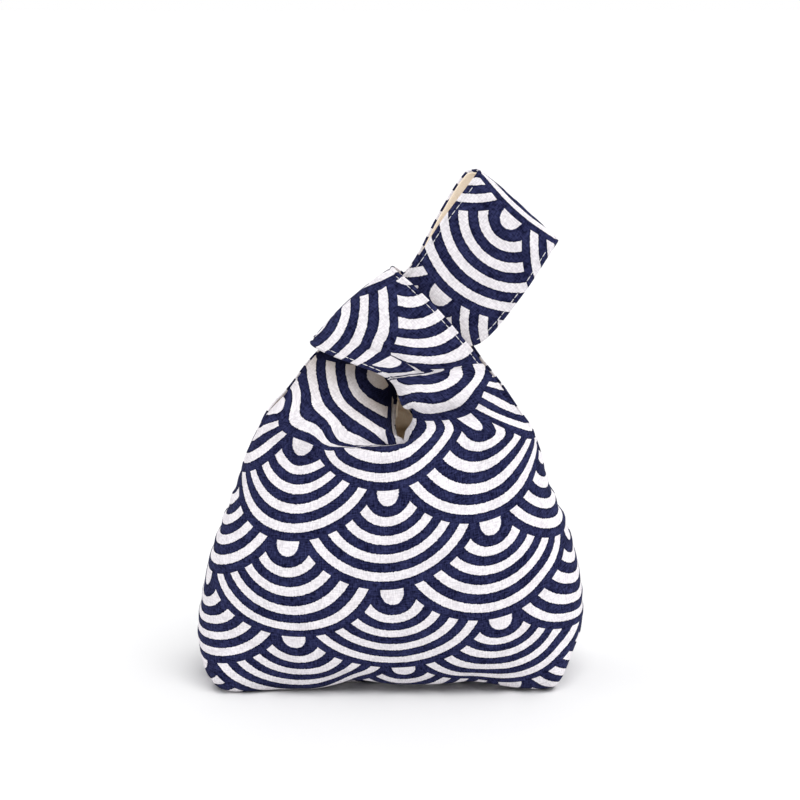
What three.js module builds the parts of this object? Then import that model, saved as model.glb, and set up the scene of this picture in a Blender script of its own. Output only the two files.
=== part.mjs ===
// Knot bag of printed cotton and linen, lined with plain cloth, tied shut and standing on its boxed base.
// The long left handle is drawn through the loop of the short right one.
// Millimetres, +Z up, +X to the right seen from the front, the front towards -Y.
// The origin is on the ground, under the middle of the bag.
import * as THREE from "three";

// Cloth
const OUTER_THICK = 1.2;
const LINING_THICK = 1.0;
const GAP = 0.3; // between two pieces of cloth that are sewn together

// How finely a face is divided
const LEFT_COLUMNS = 11; // from the left side to the neck
const RIGHT_COLUMNS = 10; // from the neck to the right side
const ROW_LENGTH = 18; // longest step up the cloth
const FOLD_STEPS = 2; // round half of the fold at a handle's end
const CONTOUR_POINTS = 240; // on the fine outline from which a section's columns are spaced
const SHARPEST_BEND = 0.7; // cosine of the bend past which a layer's corner isn't drawn out further

// Both faces are described by how far they stand out from the upright plane between them.
// The plain cloth surface lies between the printed cloth and the lining, half a gap from each.
const HALF_GAP = GAP / 2;
const OUTER_FACE = HALF_GAP + OUTER_THICK;
const LINING_FACE = -(HALF_GAP + LINING_THICK);

// The front and the back differ a little: on the back the neck lies further right, so that the two slits
// don't face each other, and the handle's back layer has slipped to the left of its front layer.
const FACES = {
  front: { side: -1, neckShift: 0, slip: 0 },
  back: { side: 1, neckShift: 9, slip: 5 },
};

// Sections from the seam in the middle of the base up to the foot of the neck.
// left and right: the section's two ends; out: how far its middle stands from the plane between the faces;
// square: 2 is an ellipse, and a higher number is boxier; leftOut, rightOut: the same for ends that are open;
// leftRise, rightRise: how much higher an end lies than the middle; middle: where the neck's column runs.
const SECTIONS = [
  { height: OUTER_FACE, left: -66, right: 66, out: 0, square: 2 },
  { height: OUTER_FACE, left: -83, right: 83, out: 22, square: 4 },
  { height: OUTER_FACE, left: -88.5, right: 89, out: 37, square: 4.4 },
  { height: OUTER_FACE, left: -92, right: 92, out: 42, square: 4.4 },
  { height: 5, left: -96.5, right: 96.5, out: 46.5, square: 4 },
  { height: 13, left: -100.5, right: 100.5, out: 50, square: 3.6 },
  { height: 25, left: -102.5, right: 101.5, out: 52.5, square: 3.2 },
  { height: 42, left: -101, right: 100.5, out: 53.5, square: 2.9 },
  { height: 62, left: -97, right: 97.5, out: 52, square: 2.7 },
  { height: 83, left: -89.5, right: 91, out: 48, square: 2.5, middle: 1 },
  { height: 104, left: -81.5, right: 82, out: 42, square: 2.3, middle: 3 },
  { height: 120, left: -75.5, right: 77, out: 36.5, square: 2.2, middle: 4, leftOut: 4, rightOut: 3 },
  {
    height: 134, left: -68, right: 73.5, out: 31.5, square: 2.1, middle: 6,
    leftOut: 8.5, rightOut: 5.5, leftRise: 1.5, rightRise: -4,
  },
];

// The long handle, from the foot of the neck up through the loop to the fold at its top.
// Each row runs across it, from its outer edge to its neck edge, each edge as [across, out, height];
// bow: how far the cloth bulges out between the edges; reach: how far the row's middle runs ahead of its ends;
// neckShare, slipShare: how much of the face's neck shift and slip the row takes.
const LONG_HANDLE = [
  { outer: [-55, 8, 153.5], neck: [2.5, 22, 146], bow: 6, reach: 0, neckShare: 1, slipShare: 0 },
  { outer: [-43, 6.5, 169.5], neck: [2.5, 15, 157], bow: 4, reach: 0, neckShare: 1, slipShare: 0 },
  { outer: [-25, 4.5, 188], neck: [12, 9.5, 166.5], bow: 3, reach: 0, neckShare: 0.4, slipShare: 0 },
  { outer: [-6.5, 3.6, 204.5], neck: [29, 7, 176], bow: 2.5, reach: 0, neckShare: 0, slipShare: 0 },
  { outer: [9, 3.6, 218.5], neck: [46.5, 5, 180.5], bow: 1.5, reach: 0, neckShare: 0, slipShare: 0 },
  { outer: [26, 5.2, 244], neck: [67, 5.2, 204.5], bow: 0.6, reach: 0.5, neckShare: 0, slipShare: 1 },
  { outer: [41.5, 4.8, 265], neck: [82.7, 4.8, 228.5], bow: 0, reach: 1.2, neckShare: 0, slipShare: 0.6 },
  { outer: [44.4, 0, 269], neck: [85.6, 0, 232.5], bow: 0, reach: 1.2, neckShare: 0, slipShare: 0 },
];

// The short handle, from the foot of the neck, turning left over the long one, to the fold at its end.
const SHORT_HANDLE = [
  { outer: [65.5, 6.5, 143.5], neck: [10.5, 30, 142], bow: 5, reach: 0, neckShare: 1, slipShare: 0 },
  { outer: [56.5, 7, 156], neck: [7.5, 29, 152], bow: 7, reach: 0, neckShare: 1, slipShare: 0 },
  { outer: [48.5, 9, 167], neck: [5, 24, 160], bow: 4.5, reach: 0, neckShare: 0.6, slipShare: 0 },
  { outer: [40.5, 13, 178], neck: [-1, 21.5, 165], bow: 4.5, reach: 0, neckShare: 0.2, slipShare: 0 },
  { outer: [25, 14.5, 196.5], neck: [-15, 18.5, 170.5], bow: 3, reach: 0.5, neckShare: 0, slipShare: 0 },
  { outer: [11, 12, 210.5], neck: [-30.5, 14, 176], bow: 2, reach: 1.5, neckShare: 0, slipShare: 0 },
  { outer: [3.2, 7.2, 216.6], neck: [-38.6, 7.5, 179], bow: 0.5, reach: 2.2, neckShare: 0, slipShare: 0 },
  { outer: [1.2, 0, 218], neck: [-41, 0, 180], bow: 0, reach: 2.4, neckShare: 0, slipShare: 0 },
];

// Soft troughs, with a minus sign, and ridges in the cloth, each along a line from one point to another
// as seen from the front: [across, height] in millimetres, on one face and the named parts of it.
// From halfway along its line a fold fades, to FOLD_END of its rise.
const FOLD_END = 0.35;
const FOLDS = [
  { face: "front", parts: ["body", "long"], from: [-14, 158], to: [-44, 84], width: 12, rise: -3.5 },
  { face: "front", parts: ["body", "short"], from: [32, 142], to: [49, 86], width: 11, rise: -3.5 },
  { face: "front", parts: ["body", "long"], from: [-64, 128], to: [-38, 112], width: 10, rise: -3 },
  { face: "front", parts: ["body"], from: [5, 118], to: [8, 66], width: 15, rise: 2.5 },
  { face: "front", parts: ["short"], from: [15, 151], to: [42, 157], width: 7, rise: 2.5 },
  { face: "back", parts: ["body", "long"], from: [-10, 158], to: [-36, 80], width: 13, rise: -3.5 },
  { face: "back", parts: ["body", "short"], from: [40, 142], to: [52, 90], width: 11, rise: -3 },
  { face: "back", parts: ["body"], from: [14, 118], to: [8, 64], width: 15, rise: 2 },
];

// Places where the lower edge of a face is lifted off the ground.
const LIFTS = [
  { face: "front", across: -19, width: 17, lift: 4 },
  { face: "front", across: 41, width: 19, lift: 3.5 },
  { face: "back", across: 10, width: 22, lift: 3.5 },
];
const LIFT_FROM = 37; // how far out the flat of the base reaches
const LIFT_FADE = 9; // height over which a lift dies away

const PRINTED_CLOTH = new THREE.MeshStandardMaterial({ color: 0x3d4674, roughness: 0.9, metalness: 0 });
const LINING_CLOTH = new THREE.MeshStandardMaterial({ color: 0xe3cfae, roughness: 0.95, metalness: 0 });

const mix = THREE.MathUtils.lerp;
const smooth = (t) => THREE.MathUtils.smoothstep(t, 0, 1);

// A section's half ring as a fine outline of points [across, out, height].
function sectionOutline(section) {
  const { height, left, right, out, square } = section;
  const { leftOut = 0, rightOut = 0, leftRise = 0, rightRise = 0 } = section;
  const points = [];
  for (let i = 0; i <= CONTOUR_POINTS; i++) {
    const turn = (i / CONTOUR_POINTS - 0.5) * Math.PI;
    const along = Math.sign(turn) * Math.abs(Math.sin(turn)) ** (2 / square);
    const bulge = Math.abs(Math.cos(turn)) ** (2 / square);
    const endOut = mix(leftOut, rightOut, (along + 1) / 2);
    const rise = along ** 2 * (along < 0 ? leftRise : rightRise);
    points.push(
      new THREE.Vector3(mix(left, right, (along + 1) / 2), mix(endOut, out, bulge), height + rise),
    );
  }
  return points;
}

// A point at a distance along an outline whose running lengths are known.
function pointAt(outline, lengths, distance) {
  let i = 1;
  while (i < outline.length - 1 && lengths[i] < distance) i++;
  const share = (distance - lengths[i - 1]) / (lengths[i] - lengths[i - 1]);
  return outline[i - 1].clone().lerp(outline[i], share);
}

// A section as one row of columns, evenly spaced on each side of the neck's column.
function sectionRow(section, face) {
  const outline = sectionOutline(section);
  const lengths = [0];
  outline.slice(1).forEach((p, i) => lengths.push(lengths[i] + p.distanceTo(outline[i])));
  const total = lengths.at(-1);
  const shift = section.middle ? face.neckShift * (section.middle / SECTIONS.at(-1).middle) : 0;
  const across = (section.middle ?? 0) + shift;
  const neck = lengths[outline.findIndex((p) => p.x >= across)];
  const row = [];
  for (let i = 0; i <= LEFT_COLUMNS; i++) row.push(pointAt(outline, lengths, (neck * i) / LEFT_COLUMNS));
  for (let i = 1; i <= RIGHT_COLUMNS; i++) {
    row.push(pointAt(outline, lengths, mix(neck, total, i / RIGHT_COLUMNS)));
  }
  return row;
}

// A row across a handle, from the bag's left to its right.
function handleRow(row, columns, face, outerOnLeft) {
  const outer = new THREE.Vector3(...row.outer);
  const neck = new THREE.Vector3(...row.neck);
  neck.x += face.neckShift * row.neckShare;
  const across = neck.clone().sub(outer).setY(0).normalize();
  for (const edge of [outer, neck]) edge.addScaledVector(across, -face.slip * row.slipShare);
  const [first, last] = outerOnLeft ? [outer, neck] : [neck, outer];
  const ahead = new THREE.Vector3(-across.z, 0, across.x).multiplyScalar(outerOnLeft ? 1 : -1);
  return Array.from({ length: columns + 1 }, (_, i) => {
    const share = i / columns;
    const arch = 4 * share * (1 - share);
    const point = first.clone().lerp(last, share).addScaledVector(ahead, row.reach * arch);
    point.y += row.bow * arch;
    return point;
  });
}

// Running distances from row to row, each the mean over the columns.
function rowDistances(rows) {
  const distances = [0];
  rows.slice(1).forEach((row, i) => {
    const mean = row.reduce((sum, p, c) => sum + p.distanceTo(rows[i][c]), 0) / row.length;
    distances.push(distances[i] + mean);
  });
  return distances;
}

// How the cloth runs on at each point of each row, per millimetre. The first and last rows may be given.
function rowDirections(rows, distances, first, last) {
  const end = rows.length - 1;
  return rows.map((row, r) => {
    if (r === 0 && first) return first;
    if (r === end && last) return last;
    const [before, after] = [Math.max(r - 1, 0), Math.min(r + 1, end)];
    return row.map((_, c) =>
      rows[after][c].clone().sub(rows[before][c]).divideScalar(distances[after] - distances[before]),
    );
  });
}

// Rows with smooth rows set between them, no further apart than ROW_LENGTH.
function loft(rows, first, last) {
  const distances = rowDistances(rows);
  const directions = rowDirections(rows, distances, first, last);
  const made = [rows[0]];
  for (let r = 1; r < rows.length; r++) {
    const span = distances[r] - distances[r - 1];
    const overFold = last && r === rows.length - 1;
    const steps = overFold ? FOLD_STEPS : Math.ceil(span / ROW_LENGTH);
    for (let s = 1; s <= steps; s++) {
      const t = s / steps;
      const [rest, turn] = [(1 - t) ** 2, t ** 2];
      made.push(
        rows[r].map((p, c) =>
          rows[r - 1][c].clone().multiplyScalar(rest * (1 + 2 * t))
            .addScaledVector(p, turn * (3 - 2 * t))
            .addScaledVector(directions[r - 1][c], rest * t * span)
            .addScaledVector(directions[r][c], -turn * (1 - t) * span),
        ),
      );
    }
  }
  return { rows: made, directions };
}

// How far the folds raise the cloth of one part of a face at a point.
function foldRise(faceName, part, point) {
  let rise = 0;
  for (const fold of FOLDS) {
    if (fold.face !== faceName || !fold.parts.includes(part)) continue;
    const [start, end] = [new THREE.Vector2(...fold.from), new THREE.Vector2(...fold.to)];
    const line = end.clone().sub(start);
    const from = new THREE.Vector2(point.x, point.z).sub(start);
    const share = THREE.MathUtils.clamp(from.dot(line) / line.lengthSq(), 0, 1);
    const away = from.addScaledVector(line, -share).length() / fold.width;
    rise += fold.rise * Math.exp(-(away ** 2)) * mix(FOLD_END, 1, smooth(2 * (1 - share)));
  }
  return rise;
}

// How far the lower edge of a face is lifted at a point.
function edgeLift(faceName, point) {
  if (point.y <= LIFT_FROM) return 0;
  let lift = 0;
  for (const place of LIFTS) {
    if (place.face !== faceName) continue;
    lift += place.lift * Math.exp(-(((point.x - place.across) / place.width) ** 2));
  }
  const outside = smooth((point.y - LIFT_FROM) / (LIFT_FADE / 2));
  return lift * outside * Math.exp(-(((point.z - OUTER_FACE) / LIFT_FADE) ** 2));
}

// The plain surface of one face: its body and both halves of its handles, as rows of columns.
function faceRows(faceName) {
  const face = FACES[faceName];
  const body = loft(SECTIONS.map((section) => sectionRow(section, face)));
  const foot = body.rows.at(-1);
  const runOn = body.directions.at(-1);
  const overFold = (count) => Array.from({ length: count + 1 }, () => new THREE.Vector3(0, -1, 0));
  const long = loft(
    [foot.slice(0, LEFT_COLUMNS + 1), ...LONG_HANDLE.map((row) => handleRow(row, LEFT_COLUMNS, face, true))],
    runOn.slice(0, LEFT_COLUMNS + 1),
    overFold(LEFT_COLUMNS),
  );
  const short = loft(
    [foot.slice(LEFT_COLUMNS), ...SHORT_HANDLE.map((row) => handleRow(row, RIGHT_COLUMNS, face, false))],
    runOn.slice(LEFT_COLUMNS),
    overFold(RIGHT_COLUMNS),
  );
  const parts = { body: body.rows, long: long.rows.slice(1), short: short.rows.slice(1) };
  for (const [part, rows] of Object.entries(parts)) {
    for (const point of rows.flat()) {
      const lift = edgeLift(faceName, point);
      const fold = foldRise(faceName, part, point);
      point.z += lift;
      point.y = Math.max(point.y + fold, 0);
    }
  }
  return parts;
}

// The surface as numbered points, and triangles that turn the same way on both faces seen from outside.
function faceSurface(faceName) {
  const { side } = FACES[faceName];
  const { body, long, short } = faceRows(faceName);
  const points = [];
  const number = (row) => row.map((p) => points.push(new THREE.Vector3(p.x, side * p.y, p.z)) - 1);
  const bodyRows = body.map(number);
  const foot = bodyRows.at(-1);
  const longRows = [foot.slice(0, LEFT_COLUMNS + 1), ...long.map(number)];
  const shortRows = [foot.slice(LEFT_COLUMNS), ...short.map(number)];
  const triangles = [];
  for (const rows of [bodyRows, longRows, shortRows]) {
    for (let r = 1; r < rows.length; r++) {
      for (let c = 1; c < rows[r].length; c++) {
        const [a, b] = [rows[r - 1][c - 1], rows[r - 1][c]];
        const [d, e] = [rows[r][c - 1], rows[r][c]];
        triangles.push(...(side < 0 ? [[a, b, e], [a, e, d]] : [[b, a, e], [e, a, d]]));
      }
    }
  }
  return { points, triangles, side };
}

// The step out of the cloth at each point, from the triangles round it. At a bend it is a little longer,
// so that a layer keeps its distance from those triangles.
function outwardSteps({ points, triangles }) {
  const steps = points.map(() => new THREE.Vector3());
  const normals = triangles.map(([a, b, c]) => {
    const across = points[b].clone().sub(points[a]);
    const up = points[c].clone().sub(points[a]);
    return across.cross(up);
  });
  triangles.forEach((corners, t) => corners.forEach((corner) => steps[corner].add(normals[t])));
  steps.forEach((step) => step.normalize());
  const flattest = points.map(() => 1);
  triangles.forEach((corners, t) => {
    const normal = normals[t].normalize();
    for (const corner of corners) flattest[corner] = Math.min(flattest[corner], steps[corner].dot(normal));
  });
  return steps.map((step, i) => step.divideScalar(Math.max(flattest[i], SHARPEST_BEND)));
}

// The edges that only one triangle has, each in that triangle's direction.
function openEdges(triangles) {
  const edges = new Map();
  for (const [a, b, c] of triangles) {
    for (const [from, to] of [[a, b], [b, c], [c, a]]) {
      if (!edges.delete(`${to} ${from}`)) edges.set(`${from} ${to}`, [from, to]);
    }
  }
  return [...edges.values()];
}

// A layer of cloth over the surface, between two distances from it, closed round its edges.
// It stays on its own side of the plane between the faces, half a gap from it, and above the ground.
function clothLayer(surface, inner, outer) {
  const { points, triangles, side } = surface;
  const steps = outwardSteps(surface);
  const count = points.length;
  const positions = [];
  for (const distance of [outer, inner]) {
    points.forEach((p, i) => {
      const q = p.clone().addScaledVector(steps[i], distance);
      positions.push(q.x, side * Math.max(side * q.y, HALF_GAP), Math.max(q.z, 0));
    });
  }
  const index = triangles.flat();
  for (const [a, b, c] of triangles) index.push(count + a, count + c, count + b);
  for (const [a, b] of openEdges(triangles)) index.push(b, a, count + a, b, count + a, count + b);
  const geometry = new THREE.BufferGeometry();
  geometry.setAttribute("position", new THREE.Float32BufferAttribute(positions, 3));
  geometry.setIndex(index);
  geometry.computeVertexNormals();
  return geometry;
}

function clothPiece(name, geometry, material) {
  const mesh = new THREE.Mesh(geometry, material);
  mesh.name = name;
  return mesh;
}

const bag = new THREE.Group();
for (const faceName of Object.keys(FACES)) {
  const surface = faceSurface(faceName);
  bag.add(clothPiece(`${faceName}_panel`, clothLayer(surface, HALF_GAP, OUTER_FACE), PRINTED_CLOTH));
  bag.add(clothPiece(`${faceName}_lining`, clothLayer(surface, LINING_FACE, -HALF_GAP), LINING_CLOTH));
}

export default bag;
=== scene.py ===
# Knot bag of printed cotton and linen with a plain lining, tied shut and standing on its boxed base.
# The long left handle is drawn through the loop of the short right one.
# Tables and sizes are in millimetres, and the meshes in metres. +Z is up and the front faces -Y.
import math

import bmesh
import bpy
import numpy as np
from mathutils import Matrix, Vector, noise


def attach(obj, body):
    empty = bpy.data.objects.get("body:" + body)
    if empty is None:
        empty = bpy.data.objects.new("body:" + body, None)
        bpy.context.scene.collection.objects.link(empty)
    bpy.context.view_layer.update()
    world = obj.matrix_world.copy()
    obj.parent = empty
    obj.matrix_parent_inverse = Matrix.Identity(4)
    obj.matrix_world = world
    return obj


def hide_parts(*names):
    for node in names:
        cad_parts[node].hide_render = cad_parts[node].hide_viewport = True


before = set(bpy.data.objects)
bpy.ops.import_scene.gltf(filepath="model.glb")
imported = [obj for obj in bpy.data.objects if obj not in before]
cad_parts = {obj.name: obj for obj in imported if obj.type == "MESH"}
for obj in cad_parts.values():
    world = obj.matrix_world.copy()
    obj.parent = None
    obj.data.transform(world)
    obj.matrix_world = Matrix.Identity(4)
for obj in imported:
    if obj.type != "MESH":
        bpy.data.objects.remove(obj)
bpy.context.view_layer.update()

MM = 0.001
TINY = 1e-6  # keeps a division from running into zero


def table(columns, *rows):
    """Rows as dicts, under the names of their columns. A row may end with a dict of further ones."""
    names = columns.split()
    return [dict(zip(names, row), **dict(*row[len(names):])) for row in rows]


# What a point of the cloth holds: its place in the bag, and where it lies on the flat cloth
ACROSS, OUT, HEIGHT, FLAT_ACROSS, FLAT_UP = range(5)
PLACE = slice(ACROSS, FLAT_ACROSS)
FLAT = slice(FLAT_ACROSS, None)
FROM_FRONT = [ACROSS, HEIGHT]  # its place as seen from the front

# Cloth
GAP = 0.3  # between the printed cloth and the lining
OUTER_THICK = 1.2
LINING_THICK = 1.0
OUTER_FACE = GAP / 2 + OUTER_THICK
SEAM_CLEAR = 0.05  # from the upright plane between the two faces
EDGE_ROUND = 0.9  # how far in from its edge the cloth reaches its full thickness

# The two layers. inner, outer: between which distances from the plain surface the cloth lies;
# inset: how far it stays from a handle's edges, as a share of the handle's width;
# clear: how near the plane between the faces a curled edge may come;
# sink: how much deeper the cloth lies round the foot of the slit;
# comes_out: 1 if it comes out past the other layer at the slit; hemmed: 1 if hems are sewn in it.
LAYERS = dict(
    printed_cloth=dict(inner=GAP / 2, outer=OUTER_FACE, inset=0, clear=3.5, sink=0, comes_out=0, hemmed=1),
    lining_cloth=dict(inner=-GAP / 2 - LINING_THICK, outer=-GAP / 2, inset=0.02, clear=1.5, sink=3,
                      comes_out=1, hemmed=0),
)
SINK_WIDTH = 12  # how far round the foot of the slit

# How finely a face is divided
CONTOUR_POINTS = 1500
COLUMNS = 64  # on each side of the neck
EDGE_COLUMNS = (0.004, 0.011, 0.022)  # further columns close to an edge, as shares of the width
ROW_STEP = 1.5
FOLD_ROWS = 5

# The two faces: on the back the neck lies further right, and the handle's back layer has slipped left.
FACES = {
    "front": dict(facing=-1, neck_shift=0, slip=0, print_shift=(0, 0)),
    "back": dict(facing=1, neck_shift=9, slip=5, print_shift=(31, 12)),
}

# Sections from the seam in the middle of the base up to the foot of the neck.
# left and right: the section's two ends; out: how far its middle stands from the plane between the faces;
# square: 2 is an ellipse, and a higher number is boxier; left_out, right_out: as out, for ends that are open;
# left_rise, right_rise: how much higher an end lies than the middle; middle: where the neck's column runs;
# left_full, right_full: cloth gathered in on each side of the neck, as a share of what shows;
# up_full: the same for the cloth between the section and the one below it;
# left_end, right_end: how much less cloth there is towards the side seams;
# right_drop: how far the cloth is drawn up on the right of the neck, so that lower print shows.
DROP_WIDTH = 30
END_FROM = 50  # along the section from a side seam
END_TO = 15
BASE_ENDS = dict(left_end=7, right_end=11)
SECTIONS = table(
    "height left right out square",
    (OUTER_FACE, -66, 66, 0, 2, BASE_ENDS),
    (OUTER_FACE, -83, 83, 22, 4, BASE_ENDS),
    (OUTER_FACE, -88.5, 89, 37, 4.4, BASE_ENDS),
    (OUTER_FACE, -92, 92, 42, 4.4, BASE_ENDS),
    (5, -96.5, 96.5, 46.5, 4, BASE_ENDS),
    (13, -100.5, 100.5, 50, 3.6, dict(up_full=1.35, **BASE_ENDS)),
    (25, -102.5, 101.5, 52.5, 3.2, dict(up_full=1.35, **BASE_ENDS)),
    (42, -101, 100.5, 53.5, 2.9, dict(up_full=1.35, left_end=5, right_end=9)),
    (62, -97, 97.5, 52, 2.7, dict(up_full=1.06, left_end=1, right_end=4)),
    (83, -89.5, 91, 48, 2.5, dict(middle=1, left_full=1.04, up_full=1.04)),
    (104, -81.5, 82, 42, 2.3, dict(middle=3, left_full=1.1, right_full=1.06)),
    (120, -75.5, 77, 36.5, 2.2, dict(
        middle=4, left_out=4, right_out=3, left_full=1.15, right_full=1.07, right_drop=2.5)),
    (134, -68, 73.5, 31.5, 2.1, dict(
        middle=6, left_out=8.5, right_out=5.5, left_rise=1.5, right_rise=-4, left_full=1.2, right_full=1.08,
        right_drop=4.5)),
)

# The long handle, from the foot of the neck up through the loop to the fold at its top.
# Each row runs across it, from its outer edge to its neck edge, each edge as (across, out, height);
# outer_flat, neck_flat: where the two edges lie on the flat cloth, as (across, up) from a wave of the print;
# bow: how far the cloth bulges out between the edges; reach: how far the row's middle runs ahead of its ends;
# flat_bow: how far the flat cloth is pulled aside between the edges;
# neck_share, slip_share: how much of the face's neck shift and slip the row takes.
HANDLE_COLUMNS = "outer neck outer_flat neck_flat bow"
LONG_HANDLE = table(
    HANDLE_COLUMNS,
    ((-55, 8, 153.5), (2.5, 22, 146), (-78.5, 9.2), (-33, 46.7), 6, dict(neck_share=1)),
    ((-43, 6.5, 169.5), (2.5, 15, 157), (-83, 29.7), (-41, 54.2), 4, dict(neck_share=1)),
    ((-25, 4.5, 188), (12, 9.5, 166.5), (-84, 59.2), (-40.5, 68.2), 3, dict(neck_share=0.4)),
    ((-6.5, 3.6, 204.5), (29, 7, 176), (-79.5, 83), (-33, 84.5), 2.5),
    ((9, 3.6, 218.5), (46.5, 5, 180.5), (-75.3, 104.9), (-21.8, 102.9), 1.5),
    ((26, 5.2, 244), (67, 5.2, 204.5), (-80, 134.8), (-24, 134.8), 0.6, dict(reach=0.5, slip_share=0.55)),
    ((41.5, 4.8, 265), (82.7, 4.8, 228.5), (-83, 164.1), (-27, 164.1), 0, dict(reach=1.2, slip_share=0.9)),
    ((44.4, 0, 269), (85.6, 0, 232.5), (-83, 177.5), (-27, 177.5), 0, dict(reach=1.2)),
)

# The short handle, from the foot of the neck, turning left over the long one, to the fold at its end.
SHORT_HANDLE = table(
    HANDLE_COLUMNS,
    ((65.5, 6.5, 143.5), (10.5, 30, 142), (91, -4.3), (19, 11.5), 5, dict(flat_bow=(0, -3.6), neck_share=1)),
    ((56.5, 7, 156), (7.5, 29, 152), (92.5, 5.5), (30, 14.2), 7, dict(neck_share=1)),
    ((48.5, 9, 167), (5, 24, 160), (96, 26.7), (38, 21.2), 4.5, dict(neck_share=0.6)),
    ((40.5, 13, 178), (-1, 21.5, 165), (97.6, 34), (52.5, 42.2), 4.5, dict(
        flat_bow=(4.5, 4), neck_share=0.2)),
    ((25, 14.5, 196.5), (-15, 18.5, 170.5), (105, 55), (52, 59.8), 3, dict(flat_bow=(3.2, 1.8), reach=0.5)),
    ((11, 12, 210.5), (-30.5, 14, 176), (106, 73), (48, 77.3), 2, dict(flat_bow=(1, 0), reach=1.5)),
    ((3.2, 7.2, 216.6), (-38.6, 7.5, 179), (107, 86.4), (46.5, 87), 0.5, dict(reach=2.2)),
    ((1.2, 0, 218), (-41, 0, 180), (107, 92.7), (46.5, 91.5), 0, dict(reach=2.4)),
)

# The strips on each side of the neck, each with its handle. outer, neck: their columns at these edges;
# to_neck: 1 where the neck is on the strip's right, and -1 where it is on its left.
SIDES = {
    "left": dict(handle="long", rows=LONG_HANDLE, outer=0, neck=-1, to_neck=1),
    "right": dict(handle="short", rows=SHORT_HANDLE, outer=-1, neck=0, to_neck=-1),
}

# How the flat cloth lies on the body, in the same measure as the handles' flat edges
FOOT_UP = 0.8  # of the foot of the neck, at its middle
FOOT_ACROSS = 9.1
BODY_LEAN = 0.11  # how far the print's columns lean to the left, for each millimetre up
BODY_CLIMB = 0.117  # how far its rows climb, for each millimetre to the right
BODY_SAG = 0.00129  # how far they hang in the middle, for each square millimetre from it

# Broad troughs, with a minus sign, and ridges that the whole bag hangs in, along a line from one point to
# another as seen from the front: (across, height). From halfway a fold fades, to FOLD_END of its rise.
FOLD_END = 0.35
FOLDS = table(
    "face parts start end width rise",
    ("front", "body long", (-14, 158), (-44, 84), 12, -3.5),
    ("front", "body short", (32, 142), (49, 86), 11, -3.5),
    ("front", "body long", (-64, 128), (-38, 112), 10, -3),
    ("front", "body", (5, 118), (8, 66), 15, 2.5),
    ("front", "short", (15, 151), (42, 157), 7, 2.5),
    ("back", "body long", (-10, 158), (-36, 80), 13, -3.5),
    ("back", "body short", (40, 142), (52, 90), 11, -3),
    ("back", "body", (14, 118), (8, 64), 15, 2),
)

# Places where the lower edge of a face is lifted off the ground
LIFT_FROM = 22  # how far out from the middle of the base the lift begins
LIFT_FADE = 12
LIFTS = table(
    "face across width lift",
    ("front", 14, 58, 4),
    ("front", -19, 13, 4),
    ("front", 41, 15, 2.5),
    ("back", 10, 22, 3.5),
)

# Valleys that the cloth is folded along, seen from the front, as points (across, height)
FRONT_TUCK = [(5, 134), (-21.5, 127.5), (-40, 129.5)]
BACK_TUCK = [(14, 134), (-16, 126.5), (-50, 130)]
ROLL_VALLEY = [(0, 164.2), (25, 166.2), (46.4, 169.7)]
BACK_ROLL_VALLEY = [(9, 163.5), (30, 166), (46.4, 169.7)]
BAND_HEM = [(13, 168), (7.7, 171), (-2.4, 175.9), (-12, 178.3), (-30, 182)]

# Creases pressed into the cloth along such a path. width: of half the trough or ridge;
# fades: shares of the path over which it grows and dies away.
CREASES = table(
    "face parts path width rise fades",
    ("front", "body long short", FRONT_TUCK, 3.2, -5, (0, 0.7)),
    ("front", "body long", [(4, 128), (-20, 122), (-44, 125)], 4.5, 2.2, (0, 0.7)),
    ("front", "body short", [(1, 164.2), (25, 166.2), (46.4, 169.7)], 4, -2.5, (0.2, 0.3)),
    ("front", "short", [(13, 168), (-2.4, 175.9), (-30, 182)], 2.2, -1.2, (0.1, 0.5)),
    ("front", "body short", [(9.8, 141.5), (41, 145.8)], 5, -2.5, (0.2, 0.5)),
    ("front", "body long", [(-57, 123), (-44, 115)], 7, -2, (0.3, 0.5)),
    ("front", "body", [(-30, 60), (-36, 8)], 10, 1.2, (0.5, 0.2)),
    ("front", "body", [(30, 55), (36, 8)], 10, 1.2, (0.5, 0.2)),
    ("back", "body long short", BACK_TUCK, 3.4, -4.5, (0, 0.7)),
    ("back", "body long", [(12, 127), (-15, 120.5), (-44, 124)], 4.5, 2, (0, 0.7)),
    ("back", "body short", BACK_ROLL_VALLEY, 4, -2.5, (0.2, 0.3)),
    ("back", "body short", [(20, 140), (52, 147)], 5, -2.2, (0.2, 0.5)),
    ("back", "body", [(58, 118), (74, 96)], 8, -2, (0.3, 0.5)),
    ("back", "body", [(-34, 58), (-40, 8)], 11, 1.2, (0.5, 0.2)),
    ("back", "body", [(38, 62), (30, 8)], 12, -1.2, (0.5, 0.2)),
)

# Corners of the base that are pulled out or in: where, how far round them, and which way, as (across, out)
CORNERS = table(
    "face at width pull",
    ("front", (-88, 36, 4), 17, (-2, 9)),
    ("front", (88, 36, 4), 17, (0, 6)),
    ("back", (-88, 36, 4), 15, (-1, 3)),
    ("back", (88, 36, 4), 15, (1, 5)),
    ("front", (99, 6, 5), 18, (-8, 0)),
    ("front", (96, 27, 6), 15, (-6, 0)),
    ("back", (99, 6, 5), 18, (-8, 0)),
    ("back", (96, 27, 6), 15, (-5, 0)),
)

# The side seams, drawn in and puckered, and the seams across the boxed corners of the base
SEAM_DIP = 0.7
SEAM_DIP_WIDTH = 1.6
PUCKER = 0.8
PUCKER_PITCH = 11
PUCKER_SWELL = 18.7  # a slower wave, so that no two puckers are alike
PUCKER_REACH = 9
CORNER_SEAM_HEIGHT = 5
CORNER_SEAM_FROM = 84  # how far across from the middle of the bag
CORNER_SEAM_FADE = 6.4

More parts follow.
